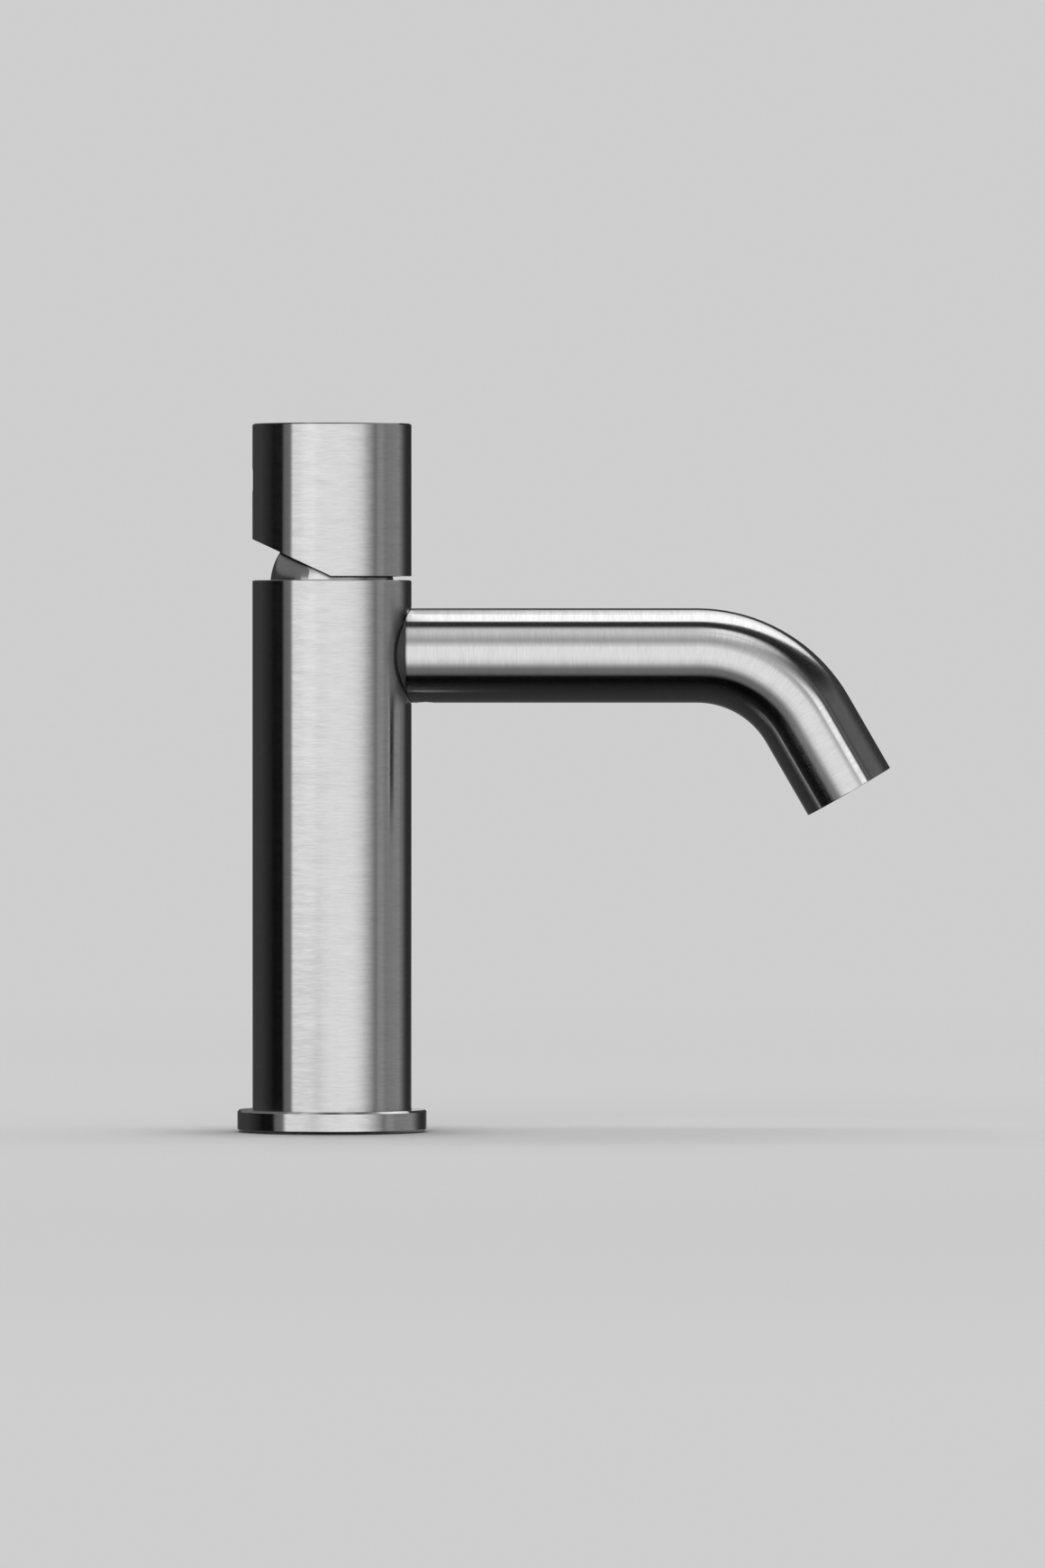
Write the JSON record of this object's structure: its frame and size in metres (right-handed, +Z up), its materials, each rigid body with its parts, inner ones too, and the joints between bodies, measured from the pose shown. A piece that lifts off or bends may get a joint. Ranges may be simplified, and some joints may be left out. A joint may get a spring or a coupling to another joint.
{
  "type": "deck mounted basin mixer",
  "caption": "Single-lever basin mixer: round column on a thin flange, tilting round handle with a slanted rear cut over a dome, and a bent tube spout with a recessed aerator.",
  "frame": {"origin": "on the column's axis, at the deck's surface under the base flange", "axes": "+Z up along the column's axis, +X towards the spout's outlet, +Y across"},
  "size_m": [0.1652, 0.05, 0.2376],
  "materials": {
    "brushed_stainless": "brushed round the axis, satin",
    "handle_stainless": "brushed round the axis, satin, turned top face",
    "dome_stainless": "finely turned, semi-bright",
    "brass": "machined",
    "black_rubber": "moulded, matt",
    "grey_plastic": "moulded, fine grain",
    "white_plastic": "moulded, fine grain",
    "plug_plastic": "moulded, satin",
    "ceramic": "lapped ceramic",
    "plated_steel": "zinc plated",
    "screen_steel": "perforated, satin"
  },
  "bodies": {
    "mixer_body": {"column": "brushed_stainless", "base_flange": "brushed_stainless", "base_seal": "black_rubber", "valve_block": "brass", "block_o_rings": "black_rubber", "block_lock_ring": "brass", "spout_tube": "brushed_stainless", "spout_nipple": "brass", "spout_o_rings": "black_rubber", "saddle_seal": "black_rubber", "spout_grub_screw": "plated_steel", "outlet_collar": "brass", "aerator_housing": "grey_plastic", "aerator_mesh": "screen_steel", "aerator_core": "grey_plastic", "aerator_washer": "black_rubber", "cartridge_base": "grey_plastic", "cartridge_port_seals": "black_rubber", "cartridge_housing": "grey_plastic", "fixed_disc": "ceramic", "cartridge_nut": "brass", "dome_cover": "dome_stainless", "fixing_stud": "plated_steel", "horseshoe_gasket": "black_rubber", "horseshoe_washer": "plated_steel", "fixing_nut": "brass"},
    "turn": {"turn_carrier": "white_plastic", "carrier_o_ring": "black_rubber", "lever_pin": "plated_steel"},
    "disc": {"disc_carrier": "white_plastic", "moving_disc": "ceramic"},
    "handle": {"handle": "handle_stainless", "lever_spindle": "plated_steel", "handle_grub_screw": "plated_steel", "handle_plug": "plug_plastic"}
  },
  "joints": [
    {"name": "handle_turn", "type": "hinge", "parent": "mixer_body", "child": "turn", "pos_m": [0, 0, 0.137], "axis": [0, 0, 1], "range_deg": [-50, 50]},
    {"name": "handle_tilt", "type": "hinge", "parent": "turn", "child": "handle", "pos_m": [0, 0, 0.137], "axis": [0, -1, 0], "range_deg": [0, 25]},
    {"name": "disc_slide", "type": "slide", "parent": "turn", "child": "disc", "axis": [1, 0, 0], "range_m": [0, 0.00402]}
  ],
  "couplings": [
    {"joint": "disc_slide", "follows": "handle_tilt", "m_per_rad": 0.0092014}
  ]
}
